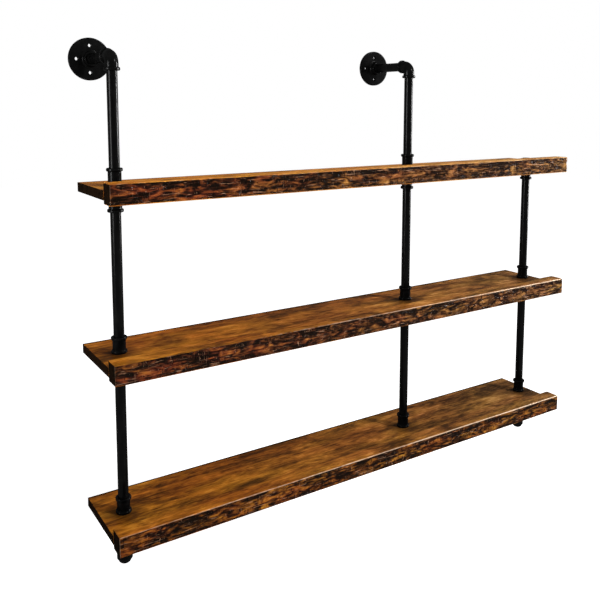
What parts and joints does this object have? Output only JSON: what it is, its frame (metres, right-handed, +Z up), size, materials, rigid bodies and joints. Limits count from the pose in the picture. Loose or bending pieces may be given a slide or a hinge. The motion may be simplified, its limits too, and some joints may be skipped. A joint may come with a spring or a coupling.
{
  "type": "pipe wine rack",
  "caption": "Wall-fixed rack of varnished boards with rough front lips, clamped on black iron pipe uprights that turn back to wall flanges and end below in two capped legs.",
  "frame": {"origin": "centre of the left wall flange's back face, on the wall's surface", "axes": "+X along the shelves to the right, +Y into the wall, +Z up"},
  "size_m": [1.279, 0.2544, 1.0794],
  "materials": {
    "varnished_pine": "gloss",
    "hewn_strip": "satin",
    "beech_dowel": "matte",
    "black_pipe": "satin",
    "malleable_iron": "satin"
  },
  "bodies": {
    "root": {"bottom_board": "varnished_pine", "bottom_front_strip": "hewn_strip", "bottom_strip_dowels": "beech_dowel", "centre_coupling_over_bottom": "malleable_iron", "centre_coupling_over_middle": "malleable_iron", "centre_coupling_over_top": "malleable_iron", "centre_coupling_under_middle": "malleable_iron", "centre_coupling_under_top": "malleable_iron", "centre_end_cap": "malleable_iron", "centre_lower_pipe": "black_pipe", "centre_nipple_in_bottom": "black_pipe", "centre_nipple_in_middle": "black_pipe", "centre_nipple_in_top": "black_pipe", "centre_riser": "black_pipe", "centre_top_arm": "black_pipe", "centre_top_elbow": "malleable_iron", "centre_upper_pipe": "black_pipe", "centre_wall_flange": "malleable_iron", "left_coupling_over_bottom": "malleable_iron", "left_coupling_over_middle": "malleable_iron", "left_coupling_over_top": "malleable_iron", "left_coupling_under_middle": "malleable_iron", "left_coupling_under_top": "malleable_iron", "left_leg_cap": "malleable_iron", "left_leg_flange": "malleable_iron", "left_lower_pipe": "black_pipe", "left_nipple_in_bottom": "black_pipe", "left_nipple_in_middle": "black_pipe", "left_nipple_in_top": "black_pipe", "left_riser": "black_pipe", "left_top_arm": "black_pipe", "left_top_elbow": "malleable_iron", "left_upper_pipe": "black_pipe", "left_wall_flange": "malleable_iron", "middle_board": "varnished_pine", "middle_front_strip": "hewn_strip", "middle_strip_dowels": "beech_dowel", "right_coupling_over_bottom": "malleable_iron", "right_coupling_over_middle": "malleable_iron", "right_coupling_under_middle": "malleable_iron", "right_coupling_under_top": "malleable_iron", "right_leg_cap": "malleable_iron", "right_leg_flange": "malleable_iron", "right_locknut": "malleable_iron", "right_lower_pipe": "black_pipe", "right_nipple_in_bottom": "black_pipe", "right_nipple_in_middle": "black_pipe", "right_nipple_in_top": "black_pipe", "right_upper_pipe": "black_pipe", "top_board": "varnished_pine", "top_front_strip": "hewn_strip", "top_strip_dowels": "beech_dowel"}
  },
  "joints": []
}
